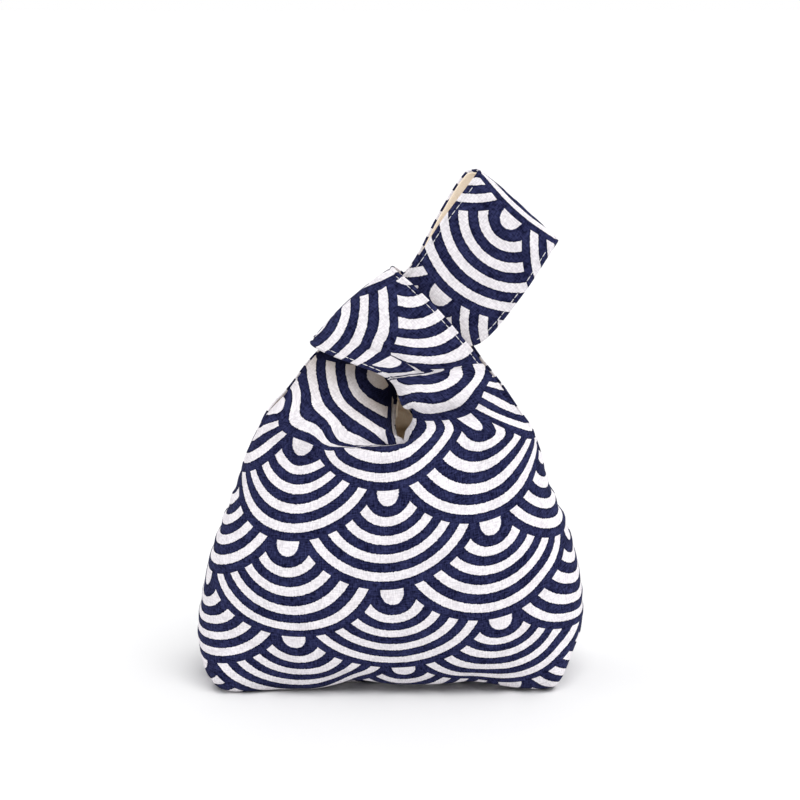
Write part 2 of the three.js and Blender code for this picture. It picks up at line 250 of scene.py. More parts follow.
# Where a handle's neck edge curls into the bag. width: how far in the curl reaches; depth: how deep it goes;
# heights: between which; lining_out: how far the lining comes out past the printed cloth there;
# drawn: how far the edge is drawn out over the slit, as (height, distance).
CURL_FADE = 8  # over which a curl grows and dies away at its two heights
CLEAR_ROUND = 1.5  # how softly a curl is stopped before the plane between the faces
CURL_JOIN = 7  # how far from the foot of the slit its two edges come to the same depth
DRAWN_WIDTH = 16  # how far in from the edge the cloth is drawn along
CURLS = table(
    "face side width depth heights lining_out drawn",
    ("front", "left", 40, 20, (126, 176), 3,
     [(134, 1), (138, 6.5), (142, 4.5), (147, 3.4), (165, 3.4), (176, 1)]),
    ("front", "right", 9, 7, (130, 168), 0, [(132, 0), (138, -2.5), (147, 0), (156, 4.2), (166, 3)]),
    ("back", "left", 14, 8, (130, 170), 0, [(150, 0)]),
    ("back", "right", 9, 6, (130, 166), 0, [(150, 0)]),
)

# Tucks: cloth folded away along a path, so that the print jumps on the left of it.
# start_jump, end_jump: how far, (across, up) on the flat cloth, at the start of the path and at its end;
# eased: whether it grows slowly at both ends;
# above: a path that the jump stays above, for a tuck along a handle and not across it.
TUCK_WIDTH = 2
TUCKS = table(
    "face side path start_jump end_jump",
    ("front", "left", [(-40, 129.5), (-21.5, 127.3), (5, 134)], (0, 0), (-31, 37), dict(eased=True)),
    ("front", "right", ROLL_VALLEY, (3, 20), (0, 0)),
    ("front", "right", BAND_HEM, (-13, -1.9), (0, 0), dict(above=ROLL_VALLEY)),
    ("back", "left", BACK_TUCK[::-1], (0, 0), (-31, 37), dict(eased=True)),
    ("back", "right", BACK_ROLL_VALLEY, (0, 19), (0, 0)),
)

# Places, as seen from the front, where the print is pulled aside: how far round them, and which way it goes
# on the flat cloth
PULLS = table(
    "face at width pull",
    ("front", (-29, 130), 11, (-5, 10)),
    ("front", (-58.5, 145), 9, (-10, 2)),
)

# Painted shade: where the cloth is darkened deep in the fold under the band, as shade falls there: along
# which path, how far from it, and above which height
PAINTED_SHADES = table(
    "face side path reach foot",
    ("front", "left", [(-33, 184), (-14, 178), (4, 172), (4, 138)], 21, 130),
)

# Slight waves all over the cloth: how long they are, and how high
UNEVEN = [(27, 0.5), (9, 0.16)]

# Hems of the handles and of the armholes between them
HEM_WIDTH = 2.6  # from the edge to the topstitching
HEM_PUFF = 0.45
HEM_FALL = 0.6  # from which share of its width a hem falls towards its stitches
HEM_DIP = 0.3
HEM_DIP_WIDTH = 0.8
ARMHOLE_FOOT = (106, 116)  # heights between which the side seam gives way to the armhole's hem
STITCH = 3.4
STITCH_PITCH = 3.7
STITCH_THICK = 0.5
STITCH_SIDES = 6
STITCH_RINGS = 4
OUTER_STITCHES_FROM = dict(left=200, right=168)  # how high an outer edge gets before its stitches show
NECK_STITCHES_FROM = dict(left=46, right=-1)  # how far across a neck edge gets before its stitches show

# Print: overlapping waves, each a half disc in rings, in shares of the wave's radius
WAVE = 54
ROW_RISE = 0.5  # from one row of waves to the next
ROWS_OVER = 3  # rows whose waves can show at any one place
HALF_DISC = 0.152
RINGS_FROM = 0.1645
NAVY_RING = 0.098
WHITE_RING = 0.089
RINGS = 4
PINCH = 0.55  # how much narrower a wave is drawn at its middle
PINCH_REACH = 0.165
BLEED = 0.018  # how far the ink's edge wanders
BLEED_SIZE = 1.1  # millimetres
INK_EDGE = 1.1  # millimetres in from the edge of a ring over which the ink is darker
INK_EDGE_TONE = 0.25

# Weave
THREAD_PITCH = 0.55
LINING_THREAD_PITCH = 0.44
SLUB_LENGTH = 6  # of an uneven stretch of thread, in threads
SLUB_WIDTH = 1.3
SLUB_HEIGHT = 1.5  # beside that of a crossing
CROSSING_HEIGHT = 0.6
PRINTED_DEPTH = 0.16
LINING_DEPTH = 0.12
PATCH = 9  # size of the patches that differ slightly in tone
PATCH_DETAIL = 4
PATCH_SHARE = 0.2

# Colours, and the range of thread thickness that runs from a dark one to a light one
NAVY_DARK = (0.0025, 0.003, 0.018)
NAVY_LIGHT = (0.0365, 0.0415, 0.119)
NAVY_RANGE = (0.4, 0.62)
# Painted shade: the navy and white that the print is darkened towards deep in the fold under the band
NAVY_PAINTED_SHADE = (0.002, 0.002, 0.008)
WHITE_DARK = (0.66, 0.63, 0.665)
WHITE_LIGHT = (0.88, 0.85, 0.88)
WHITE_RANGE = (0.42, 0.58)
WHITE_PAINTED_SHADE = (0.3, 0.235, 0.18)
BEIGE_DARK = (0.87, 0.71, 0.54)
BEIGE_LIGHT = (0.97, 0.88, 0.75)
BEIGE_RANGE = (0.3, 0.7)
THREAD_DARK = (0.62, 0.61, 0.62)
THREAD_LIGHT = (0.95, 0.94, 0.95)
THREAD_GRAIN = 900  # flecks in a metre
THREAD_DEPTH = 0.1

# Finishes
PRINTED_FINISH = {"Roughness": 0.92, "Specular IOR Level": 0.03, "Sheen Weight": 0.01, "Sheen Roughness": 0.6}
LINING_FINISH = {"Roughness": 0.95, "Specular IOR Level": 0.2}
THREAD_FINISH = {"Roughness": 0.7}
FLOOR_FINISH = {"Base Color": (0.84, 0.84, 0.845, 1), "Roughness": 0.6}

# The picture
VIEW_TARGET = (3.98, 0, 147.8)
VIEW_DISTANCE = 1250
VIEW_HEIGHT_ANGLE = 9.5
VIEW_LENS = 106.1
VIEW_SENSOR = 36
FLOOR = 150  # metres, so that it runs to the horizon
FLOOR_SQUARES = 8
ROOM_LIGHT = 0.3
SIDE_LIGHT = 1.5
BACK_LIGHT = 0.8
HORIZON_LIGHT = 1.0
HORIZON_BAND = (0.03, 0.12)  # how far from level the band round the horizon fades into the walls
LAMP_LIGHT = 1.95
LAMP_ANGLE = 50  # degrees across, for soft shadows
LAMP_AIM = (-0.3, 0.62, -1.25)


def mix(a, b, share):
    return a + (b - a) * share


def smooth(t):
    t = np.clip(t, 0, 1)
    return t * t * (3 - 2 * t)


def bell(away, width):
    """1 at a place, dying away softly round it."""
    return np.exp(-((away / width) ** 2))


def running_lengths(points):
    steps = np.linalg.norm(np.diff(points, axis=0), axis=-1)
    return np.concatenate([np.zeros_like(steps[:1]), np.cumsum(steps, axis=0)])


def on_face(table, face_name, **where):
    """The rows of a table for one face, and for one side of it if that is given."""
    wanted = dict(face=face_name, **where)
    return [row for row in table if all(row[key] == value for key, value in wanted.items())]


# Places on the cloth

def path_place(points, path):
    """Distance from a path, share of the way along it, and 1 on its left side or -1."""
    at = points[..., FROM_FRONT]
    path = np.array(path, float)
    lengths = running_lengths(path)
    nearest = np.full(at.shape[:-1], np.inf)
    share = np.zeros_like(nearest)
    left = np.zeros_like(nearest)
    for start, end, begun in zip(path, path[1:], lengths):
        line = end - start
        place = at - start
        t = np.clip(place @ line / (line @ line), 0, 1)
        away = np.linalg.norm(place - t[..., None] * line, axis=-1)
        nearer = away < nearest
        nearest = np.where(nearer, away, nearest)
        share = np.where(nearer, (begun + t * np.linalg.norm(line)) / lengths[-1], share)
        left = np.where(nearer, np.sign(line[0] * place[..., 1] - line[1] * place[..., 0]), left)
    return nearest, share, left


def left_of(points, path):
    """1 on the left of a path and 0 on its right, with a short change between them."""
    away, _, left = path_place(points, path)
    return smooth(0.5 + left * away / TUCK_WIDTH)[..., None]


def edge_distances(points, foot, side):
    """How far each point of a strip lies from its outer edge, the neck, its nearer end and the slit.

    past_foot: how far above the foot of the slit, with a minus sign below it."""
    up = running_lengths(points[..., PLACE])
    across = running_lengths(points[..., PLACE].swapaxes(0, 1)).T
    back = across[:, -1:] - across
    outer, neck = (across, back) if side == "left" else (back, across)
    past_foot = up - up[foot]
    slit = np.hypot(neck, np.minimum(past_foot, 0))
    return dict(outer=outer, neck=neck, ends=np.minimum(up, up[-1] - up), past_foot=past_foot, slit=slit)


def strip_parts(points, foot, side):
    """The part that each row of a strip lies in: the body or a handle."""
    return np.where(np.arange(len(points)) <= foot, "body", SIDES[side]["handle"])


def in_parts(parts, names):
    """1 for each row of a strip that lies in one of the named parts, and 0 for the others."""
    return np.isin(parts, names.split())[:, None] * 1.0


def armhole_share(points):
    """0 where the side is a seam and 1 where it is the armhole's edge."""
    return smooth((points[..., HEIGHT] - ARMHOLE_FOOT[0]) / (ARMHOLE_FOOT[1] - ARMHOLE_FOOT[0]))


def sewn_neck(values, foot, side):
    """What a strip holds along its neck edge up to the foot of the slit, where both strips are one cloth."""
    return values[: foot + 1, SIDES[side]["neck"]]


# Cloth surface

def column_shares():
    """Places across one side of a face, from 0 at its left edge to 1, closer together at both edges."""
    even = np.arange(1, COLUMNS) / COLUMNS
    ends = np.array(EDGE_COLUMNS)
    return np.unique(np.concatenate([[0, 1], even, ends, 1 - ends]).round(5))


def section_row(section, face, shares):
    """One row of the body, left and right of the neck."""
    turn = np.linspace(-0.5, 0.5, CONTOUR_POINTS) * math.pi
    power = 2 / section["square"]
    along = np.sign(turn) * np.abs(np.sin(turn)) ** power
    bulge = np.abs(np.cos(turn)) ** power
    ends = mix(section.get("left_out", 0), section.get("right_out", 0), (along + 1) / 2)
    rise = along**2 * np.where(along < 0, section.get("left_rise", 0), section.get("right_rise", 0))
    outline = np.stack([
        mix(section["left"], section["right"], (along + 1) / 2),
        mix(ends, section["out"], bulge),
        section["height"] + rise,
    ], axis=-1)
    lengths = running_lengths(outline)
    middle = section.get("middle", 0)
    shift = face["neck_shift"] * middle / SECTIONS[-1]["middle"]
    neck = np.interp(middle + shift, outline[:, ACROSS], lengths)
    places = np.concatenate([mix(0, neck, shares), mix(neck, lengths[-1], shares)])
    full = np.where(places < neck, section.get("left_full", 1), section.get("right_full", 1))
    flat = shift + (places - neck) * full
    flat += section.get("left_end", 0) * smooth((END_FROM - places) / (END_FROM - END_TO))
    flat -= section.get("right_end", 0) * smooth((END_FROM - lengths[-1] + places) / (END_FROM - END_TO))
    drop = section.get("right_drop", 0) * smooth((places - neck) / DROP_WIDTH)
    row = [np.interp(places, lengths, column) for column in outline.T]
    return np.stack([*row, flat, -drop], axis=-1)


def handle_row(row, face, shares, side):
    """One row across a handle, from the bag's left to its right."""
    outer = np.array([*row["outer"], *row["outer_flat"]], float)
    neck = np.array([*row["neck"], *row["neck_flat"]], float)
    neck[[ACROSS, FLAT_ACROSS]] += face["neck_shift"] * row.get("neck_share", 0)
    across = np.zeros_like(outer)
    across[FROM_FRONT] = (neck - outer)[FROM_FRONT]
    across /= np.linalg.norm(across)
    slipped = across * face["slip"] * row.get("slip_share", 0)
    first, last = (outer, neck) if side == "left" else (neck, outer)
    ahead = np.zeros_like(outer)
    ahead[FROM_FRONT] = -across[HEIGHT], across[ACROSS]
    ahead *= SIDES[side]["to_neck"] * row.get("reach", 0)
    bow = np.array([0, row.get("bow", 0), 0, *row.get("flat_bow", (0, 0))])
    arch = (4 * shares * (1 - shares))[:, None]
    return mix(first - slipped, last - slipped, shares[:, None]) + (ahead + bow) * arch


def row_spans(rows):
    return np.linalg.norm(np.diff(rows[..., PLACE], axis=0), axis=2).mean(axis=1)


def loft(rows, first=None, last=None):
    """Rows with smooth rows set between them. first and last are how the cloth runs on at its ends."""
    spans = row_spans(rows)
    distances = np.concatenate([[0], np.cumsum(spans)])
    run = np.empty_like(rows)
    run[1:-1] = (rows[2:] - rows[:-2]) / (distances[2:] - distances[:-2])[:, None, None]
    run[0] = (rows[1] - rows[0]) / spans[0] if first is None else first
    run[-1] = (rows[-1] - rows[-2]) / spans[-1] if last is None else last
    made = [rows[0]]
    for r, span in enumerate(spans):
        at_fold = last is not None and r == len(spans) - 1
        steps = FOLD_ROWS if at_fold else math.ceil(span / ROW_STEP)
        for t in np.arange(1, steps + 1) / steps:
            rest, turn = (1 - t) ** 2, t**2
            made.append(
                rows[r] * rest * (1 + 2 * t) + rows[r + 1] * turn * (3 - 2 * t)
                + run[r] * rest * t * span - run[r + 1] * turn * (1 - t) * span
            )
    return np.array(made), run


def lay_print_on_body(rows):
    """Gives the body's table rows their place up the flat cloth, and leans, tilts and sags the print."""
    full = [section.get("up_full", 1) for section in SECTIONS[1:]]
    up = np.concatenate([[0], np.cumsum(row_spans(rows) * full)])
    up = (up - up[-1])[:, None]
    across = rows[..., FLAT_ACROSS].copy()
    rows[..., FLAT_ACROSS] += FOOT_ACROSS + BODY_LEAN * up
    rows[..., FLAT_UP] += FOOT_UP + up - BODY_CLIMB * across - BODY_SAG * across**2
    return rows


def fold_rise(face_name, parts, points):
    rise = np.zeros(points.shape[:-1])
    for fold in on_face(FOLDS, face_name):
        away, share, _ = path_place(points, (fold["start"], fold["end"]))
        height = fold["rise"] * mix(FOLD_END, 1, smooth(2 * (1 - share)))
        rise += in_parts(parts, fold["parts"]) * height * bell(away, fold["width"])
    return rise


def tuck_jump(face_name, side, points, along_handle):
    """How far the tucks across a handle move the print, and those along it too if asked for."""
    jump = np.zeros((*points.shape[:-1], 2))
    for tuck in on_face(TUCKS, face_name, side=side):
        if along_handle or "above" not in tuck:
            start, end = np.array(tuck["path"][0]), np.array(tuck["path"][-1])
            chord = end - start
            share = np.clip((points[..., FROM_FRONT] - start) @ chord / (chord @ chord), 0, 1)
            share = smooth(share) if tuck.get("eased") else share
            whole = mix(np.array(tuck["start_jump"]), np.array(tuck["end_jump"]), share[..., None])
            whole = whole * left_of(points, tuck["path"])
            jump += whole * left_of(points, tuck["above"]) if "above" in tuck else whole
    return jump


def print_pull(face_name, points):
    moved = np.zeros((*points.shape[:-1], 2))
    for place in on_face(PULLS, face_name):
        away = np.linalg.norm(points[..., FROM_FRONT] - place["at"], axis=-1)
        moved += bell(away, place["width"])[..., None] * place["pull"]
    return moved


def edge_lift(face_name, points):
    lift = np.zeros(points.shape[:-1])
    for place in on_face(LIFTS, face_name):
        lift += place["lift"] * bell(points[..., ACROSS] - place["across"], place["width"])
    outside = smooth((points[..., OUT] - LIFT_FROM) / LIFT_FADE)
    return lift * outside * bell(points[..., HEIGHT] - OUTER_FACE, LIFT_FADE)


def face_strips(face_name, inset):
    """The plain surface of one face as two strips, each a side of the body with its handle, and the row that
    the foot of the slit lies in."""
    face = FACES[face_name]
    shares = column_shares()
    rows = np.array([section_row(section, face, shares) for section in SECTIONS])
    body, body_run = loft(lay_print_on_body(rows))
    foot = len(body) - 1
    over_fold = np.array([0, -1, 0, 0, 1])
    handle_shares = mix(inset, 1 - inset, shares)
    strips = {}
    for side, columns in (("left", slice(0, len(shares))), ("right", slice(len(shares), None))):
        rows = np.array([handle_row(row, face, handle_shares, side) for row in SIDES[side]["rows"]])
        rows[..., FLAT] -= tuck_jump(face_name, side, rows, False)
        handle, _ = loft(np.concatenate([body[-1:, columns], rows]), body_run[-1][columns], over_fold)
        strip = np.concatenate([body[:, columns], handle[1:]])
        strip[..., FLAT] += tuck_jump(face_name, side, strip, True) + print_pull(face_name, strip)
        rise = fold_rise(face_name, strip_parts(strip, foot, side), strip)
        strip[..., HEIGHT] += edge_lift(face_name, strip)
        strip[..., OUT] = np.maximum(strip[..., OUT] + rise, 0)
        strips[side] = strip
    return strips, foot


# Creases

def strip_normals(points):
    normals = np.cross(np.gradient(points[..., PLACE], axis=0), np.gradient(points[..., PLACE], axis=1))
    return normals / np.maximum(np.linalg.norm(normals, axis=-1, keepdims=True), TINY)


def crease_rise(face_name, parts, points):
    rise = np.zeros(points.shape[:-1])
    for crease in on_face(CREASES, face_name):
        away, share, _ = path_place(points, crease["path"])
        height = crease["rise"]
        for done, fade in zip((share, 1 - share), crease["fades"]):
            height = height * smooth((done + TINY) / (fade + TINY))
        rise += in_parts(parts, crease["parts"]) * height * bell(away, crease["width"])
    return rise


def neck_curl(face_name, side, points, foot):
    """How deep the neck edge curls in, and how far the lining comes out and the edge is drawn out there."""
    slit = edge_distances(points, foot, side)["slit"]
    height = points[..., HEIGHT]
    depth, lining_out, drawn = np.zeros((3, *height.shape))
    for curl in on_face(CURLS, face_name, side=side):
        low, high = curl["heights"]
        shown = smooth((height - low) / CURL_FADE) * smooth((high - height) / CURL_FADE)
        near = np.clip(1 - slit / curl["width"], 0, 1)
        depth += curl["depth"] * near**2 * shown
        lining_out += curl["lining_out"] * near**3 * shown
        drawn += np.interp(height, *zip(*curl["drawn"])) * np.clip(1 - slit / DRAWN_WIDTH, 0, 1) ** 2
    return dict(depth=depth, lining_out=lining_out, drawn=drawn)


def join_curls(curls, strips, foot):
    """Brings the curls of the two neck edges to the same depth below the slit and at its foot."""
    depths = {side: sewn_neck(curl["depth"], foot, side) for side, curl in curls.items()}
    middle = sum(depths.values()) / 2
    for side, points in strips.items():
        edges = edge_distances(points, foot, side)
        step = np.pad(middle - depths[side], (0, len(points) - len(middle)), "edge")
        away = np.hypot(edges["neck"], np.maximum(edges["past_foot"], 0))
        curls[side]["depth"] += step[:, None] * bell(away, CURL_JOIN)


def stop_curl(points, depth, clear):
    """Stops the curled cloth softly before it reaches the plane between the faces."""
    out = points[..., OUT]
    stopped = clear + CLEAR_ROUND * np.logaddexp(0, (out - clear) / CLEAR_ROUND)
    points[..., OUT] = mix(np.maximum(out, 0), stopped, smooth(depth))


def pull_corners(face_name, points):
    for corner in on_face(CORNERS, face_name):
        away = np.linalg.norm(points[..., PLACE] - corner["at"], axis=-1)
        points[..., [ACROSS, OUT]] += bell(away, corner["width"])[..., None] * corner["pull"]


def seam_rise(points, outer):
    """The side seam, drawn in and puckered, and the seam across the boxed corner below it."""
    height = points[..., HEIGHT]
    waves = np.sin(2 * math.pi * height / PUCKER_PITCH) * np.sin(height / PUCKER_SWELL)
    rise = PUCKER * waves * np.exp(-outer / PUCKER_REACH) * smooth(outer / SEAM_DIP_WIDTH)
    rise -= SEAM_DIP * bell(outer, SEAM_DIP_WIDTH)
    beyond = smooth((np.abs(points[..., ACROSS]) - CORNER_SEAM_FROM) / CORNER_SEAM_FADE)
    rise -= SEAM_DIP * beyond * bell(height - CORNER_SEAM_HEIGHT, SEAM_DIP_WIDTH)
    return rise * (1 - armhole_share(points))


def unevenness(points, facing):
    """Slight waves all over the cloth."""
    rise = np.zeros(points.shape[:-1])
    for place in np.ndindex(rise.shape):
        across, out, height = points[place][PLACE]
        for length, rises in UNEVEN:
            rise[place] += rises * noise.noise((across / length, facing * out / length, height / length))
    return rise


def drawn_out(directions, lengths):
    """Directions on the cloth, drawn out to the given lengths."""
    return directions * (lengths / np.linalg.norm(directions[..., PLACE], axis=-1))[..., None]


def press_creases(face_name, layer, strips, foot):
    """Presses the creases, curls and slight waves into a layer, and moves the print to its place."""
    face = FACES[face_name]
    for points in strips.values():
        pull_corners(face_name, points)
    curls = {side: neck_curl(face_name, side, points, foot) for side, points in strips.items()}
    join_curls(curls, strips, foot)
    for side, points in strips.items():
        curl = curls[side]
        edges = edge_distances(points, foot, side)
        parts = strip_parts(points, foot, side)
        rise = crease_rise(face_name, parts, points) + unevenness(points, face["facing"])
        rise += seam_rise(points, edges["outer"])
        rise -= curl["depth"]
        rise -= layer["sink"] * bell(np.hypot(edges["neck"], edges["past_foot"]), SINK_WIDTH)
        points[..., PLACE] += strip_normals(points) * rise[..., None]
        stop_curl(points, curl["depth"], layer["clear"])
        along = np.gradient(points, axis=1) * SIDES[side]["to_neck"]
        level = along.copy()
        level[..., OUT] = 0
        moved = drawn_out(level, curl["drawn"]) + drawn_out(along, curl["lining_out"] * layer["comes_out"])
        points[foot + 1:] += moved[foot + 1:]
        points[..., FLAT] += face["print_shift"]
    middle = sum(sewn_neck(points, foot, side) for side, points in strips.items()) / 2
    for side, points in strips.items():
        sewn_neck(points, foot, side)[:] = middle


def painted_fold_shade(face_name, strips):
    """How much painted shade darkens the cloth at each point, from 0 to 1."""
    shades = []
    for side, points in strips.items():
        shade = np.zeros(points.shape[:-1])
        for place in on_face(PAINTED_SHADES, face_name, side=side):
            away, _, _ = path_place(points, place["path"])
            above = smooth((points[..., HEIGHT] - place["foot"]) / place["reach"])
            shade += above * bell(away, place["reach"])
        shades.append(shade.ravel())
    return np.concatenate(shades)


# Cloth pieces

def new_piece(name, bm, material):
    mesh = bpy.data.meshes.new(name)
    bm.to_mesh(mesh)
    bm.free()
    mesh.materials.append(material)
    piece = bpy.data.objects.new(name, mesh)
    bpy.context.scene.collection.objects.link(piece)
    return piece


def to_frame(point, facing):
    """A point of the cloth as a place in the frame, in metres."""
    return Vector((point[ACROSS], facing * max(point[OUT], SEAM_CLEAR), max(point[HEIGHT], 0))) * MM


def sewn_surface(strips, foot, facing):
    """Both strips as one bmesh, joined down the middle of the body, and the number of each vertex's point."""
    bm = bmesh.new()
    number = bm.verts.layers.int.new("number")
    verts = {}
    count = 0
    for side, points in strips.items():
        rows, columns = points.shape[:2]
        made = bmesh.ops.create_grid(bm, x_segments=columns - 1, y_segments=rows - 1, size=0.5)["verts"]
        for vert, point in zip(made, points.reshape(rows * columns, -1)):
            vert.co = to_frame(point, facing)
            vert[number] = count
            count += 1
        verts[side] = [made[r * columns:(r + 1) * columns] for r in range(rows)]
    seam = {verts["right"][r][0]: verts["left"][r][-1] for r in range(foot + 1)}
    bmesh.ops.weld_verts(bm, targetmap=seam)
    if facing > 0:
        bmesh.ops.reverse_faces(bm, faces=bm.faces[:])
    bm.normal_update()
    return bm, number


def mark_cloth(bm, number, strips, painted_shade):
    """Keeps where each point lies on the flat cloth, and how much painted shade darkens it."""
    flats = np.concatenate([points[..., FLAT].reshape(-1, 2) for points in strips.values()]) * MM
    flat_cut = bm.loops.layers.uv.new("flat_cut")
    shade = bm.verts.layers.float.new("painted_fold_shade")
    for vert in bm.verts:
        vert[shade] = painted_shade[vert[number]]
    for face in bm.faces:
        face.smooth = True
        for loop in face.loops:
            loop[flat_cut].uv = flats[loop.vert[number]]


def hem_profile(away):
    falling = smooth((away - HEM_FALL * HEM_WIDTH) / ((1 - HEM_FALL) * HEM_WIDTH))
    puffed = smooth(away / EDGE_ROUND) * (1 - falling)
    return HEM_PUFF * puffed - HEM_DIP * bell(away - HEM_WIDTH, HEM_DIP_WIDTH)


def layer_shape(strips, foot):
    """For each point: the share of its full thickness the cloth has there, and how far the hem raises it."""
    full, hem = [], []
    for side, points in strips.items():
        edges = edge_distances(points, foot, side)
        handle = (np.arange(len(points)) > foot)[:, None]
        edge = np.minimum(np.minimum(edges["outer"], edges["ends"]), np.where(handle, edges["neck"], np.inf))
        inside = 1 - np.clip(edge / EDGE_ROUND, 0, 1)
        full.append(np.sqrt(1 - inside**2).ravel())
        open_side = np.where(handle, 1, armhole_share(points))
        hem.append((hem_profile(edges["outer"]) * open_side + hem_profile(edges["slit"])).ravel())
    return np.concatenate(full), np.concatenate(hem)


def thicken(bm, number, layer, facing, full, hem):
    """Doubles a surface into a closed layer of cloth. Returns each outer point's place and normal."""
    middle = (layer["inner"] + layer["outer"]) / 2
    half = (layer["outer"] - layer["inner"]) / 2
    tops = bm.verts[:]
    edge = [vert for vert in tops if vert.is_boundary]
    copied = bmesh.ops.duplicate(bm, geom=tops + bm.edges[:] + bm.faces[:])
    under_of = copied["vert_map"]
    skin = np.full((len(full), 6), np.nan)
    for vert in tops:
        at = vert[number]
        normal = vert.normal.copy()
        place = vert.co.copy()
        under = under_of[vert]
        raised = hem[at] * layer["hemmed"]
        vert.co = place + normal * (middle + half * full[at] + raised * full[at]) * MM
        under.co = place + normal * (middle - half * full[at]) * MM
        for end in (vert, under):
            end.co.y = facing * max(facing * end.co.y, SEAM_CLEAR * MM)
            end.co.z = max(end.co.z, 0)
        skin[at] = [*vert.co, *normal]
    unders = [item for item in copied["geom"] if isinstance(item, bmesh.types.BMFace)]
    bmesh.ops.reverse_faces(bm, faces=unders)
    bmesh.ops.weld_verts(bm, targetmap={under_of[vert]: vert for vert in edge})
    return skin


def cloth_piece(face_name, layer_name, material):
    """One layer of cloth on one face. Returns it, its strips with the foot's row, and their outer points."""
    layer = LAYERS[layer_name]
    facing = FACES[face_name]["facing"]
    strips, foot = face_strips(face_name, layer["inset"])
    press_creases(face_name, layer, strips, foot)
    bm, number = sewn_surface(strips, foot, facing)
    # painted shade deep in the fold under the band goes onto the cloth here
    mark_cloth(bm, number, strips, painted_fold_shade(face_name, strips))
    skin = thicken(bm, number, layer, facing, *layer_shape(strips, foot))
    bm.verts.layers.int.remove(number)
    halves = np.split(skin, [strips["left"][..., ACROSS].size])
    skins = {side: half.reshape(*strips[side].shape[:2], -1) for side, half in zip(strips, halves)}
    return new_piece(face_name + "_" + layer_name, bm, material), strips, foot, skins


# Topstitching

def stitch_path(skin, strip, foot, side, edge):
    """The line of stitches along one edge of a strip: places and normals on the cloth, from the bottom up."""
    away = edge_distances(strip, foot, side)[edge]
    along = strip[:, SIDES[side][edge]]
    if edge == "outer":
        shown = along[:, HEIGHT] > OUTER_STITCHES_FROM[side]
    else:
        shown = (along[:, ACROSS] - NECK_STITCHES_FROM[side]) * SIDES[side]["to_neck"] > 0
        shown[:foot] = False
    path = []
    for r in range(np.argmax(shown), len(strip) - FOLD_ROWS):
        order = np.argsort(away[r])
        path.append([np.interp(HEM_WIDTH, away[r][order], column) for column in skin[r][order].T])
    return np.array(path)


def path_point(path, lengths, distance):
    """The place and the normal at a distance along a line of stitches."""
    values = [np.interp(distance, lengths, column) for column in path.T]
    return Vector(values[:3]), Vector(values[3:])


def add_stitches(bm, path):
    """Short rounded stitches along a path, half sunk in the cloth."""
    lengths = running_lengths(path[:, PLACE])
    start = 0
    while start + STITCH * MM < lengths[-1]:
        first, _ = path_point(path, lengths, start)
        _, normal = path_point(path, lengths, start + STITCH * MM / 2)
        last, _ = path_point(path, lengths, start + STITCH * MM)
        along = last - first
        aside = along.cross(normal.normalized()).normalized()
        upright = along.normalized().cross(aside)
        turn = Matrix((aside * STITCH_THICK * MM, upright * STITCH_THICK * MM, along)).transposed()
        shape = Matrix.Translation((first + last) / 2) @ turn.to_4x4()
        bmesh.ops.create_uvsphere(
            bm, u_segments=STITCH_SIDES, v_segments=STITCH_RINGS, radius=0.5, matrix=shape
        )
        start += STITCH_PITCH * MM


def topstitching(name, skins, strips, foot, material):
    bm = bmesh.new()
    for side, strip in strips.items():
        for edge in ("outer", "neck"):
            add_stitches(bm, stitch_path(skins[side], strip, foot, side, edge))
    bmesh.ops.recalc_face_normals(bm, faces=bm.faces[:])
    for face in bm.faces:
        face.smooth = True
    return new_piece(name, bm, material)


# Materials

class Value:
    """A number, place or colour that nodes work out all over a surface. Arithmetic with it adds nodes."""

    def __init__(self, tree, socket):
        self.tree = tree
        self.socket = socket

    def calc(self, operation, *others):
        node = self.tree.nodes.new("ShaderNodeMath")
        node.operation = operation
        for socket, value in zip(node.inputs, (self, *others)):
            feed(socket, value)
        return Value(self.tree, node.outputs[0])

    def __add__(self, other):
        return self.calc("ADD", other)

    def __sub__(self, other):
        return self.calc("SUBTRACT", other)

    def __mul__(self, other):
        return self.calc("MULTIPLY", other)

    def __mod__(self, other):
        return self.calc("FLOORED_MODULO", other)

    def __lt__(self, other):
        return self.calc("LESS_THAN", other)

    def __gt__(self, other):
        return self.calc("GREATER_THAN", other)

    def parts(self):
        """The three numbers of a place or direction."""
        node = self.tree.nodes.new("ShaderNodeSeparateXYZ")
        feed(node.inputs[0], self)
        return [Value(self.tree, socket) for socket in node.outputs]

    def within(self, low, high, to_low=0, kind="LINEAR"):
        """How far a number has come from low to high, from to_low to 1."""
        node = self.tree.nodes.new("ShaderNodeMapRange")
        node.interpolation_type = kind
        for name, value in (("From Min", low), ("From Max", high), ("To Min", to_low), ("Value", self)):
            feed(node.inputs[name], value)
        return Value(self.tree, node.outputs["Result"])

    def blend(self, first, second):
        """The colour between two that a number from 0 to 1 gives."""
        node = self.tree.nodes.new("ShaderNodeMix")
        node.data_type = "RGBA"
        feed(node.inputs["Factor"], self)
        colours = [socket for socket in node.inputs if socket.type == "RGBA"]
        for socket, value in zip(colours, (first, second)):
            feed(socket, (*value, 1) if isinstance(value, tuple) else value)
        return Value(self.tree, next(socket for socket in node.outputs if socket.type == "RGBA"))


def feed(socket, value):
    """Sets a socket to a fixed value, or links it to one that nodes work out."""
    if isinstance(value, Value):
        value.tree.links.new(value.socket, socket)
    else:
        socket.default_value = value


def new_material(name, finish):
    material = bpy.data.materials.new(name)
    material.use_nodes = True
    tree = material.node_tree
    shader = tree.nodes["Principled BSDF"]
    for socket, value in finish.items():
        feed(shader.inputs[socket], value)
    return material, tree, shader


def flat_cut_place(tree):
    """Where a point lies on the flat cloth, in metres: its place, how far across, and how far up."""
    node = tree.nodes.new("ShaderNodeUVMap")
    node.uv_map = "flat_cut"
    place = Value(tree, node.outputs["UV"])
    across, up, _ = place.parts()
    return place, across, up


